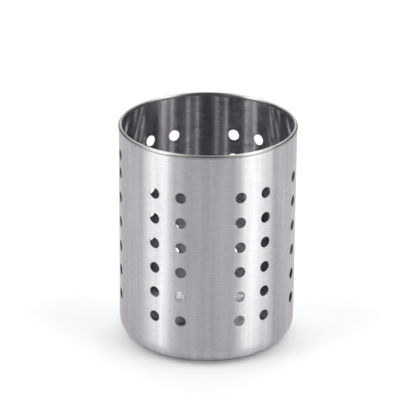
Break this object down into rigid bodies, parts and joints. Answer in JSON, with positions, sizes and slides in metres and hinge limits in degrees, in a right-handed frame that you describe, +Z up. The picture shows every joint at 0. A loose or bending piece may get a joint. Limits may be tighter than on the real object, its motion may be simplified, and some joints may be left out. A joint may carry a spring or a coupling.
{
  "type": "perforated cutlery drainer cup",
  "caption": "Round stainless steel cup with a rolled rim, punched drain holes in pairs of columns and a pressed base; holds cutlery upright while it drains.",
  "frame": {"origin": "middle of the standing face, on the cup's axis", "axes": "+Z up along the cup's axis; -Y towards the front that the picture shows; +X to the right as seen from the front"},
  "size_m": [0.095, 0.095, 0.12],
  "materials": {
    "satin_steel": "satin, brushed round the cup; polished on the bead and inside",
    "wire_steel": "drawn wire, hidden in the rolled rim"
  },
  "bodies": {
    "root": {"perforated_wall": "satin_steel", "base_pan": "satin_steel", "rim_wire": "wire_steel"}
  },
  "joints": []
}
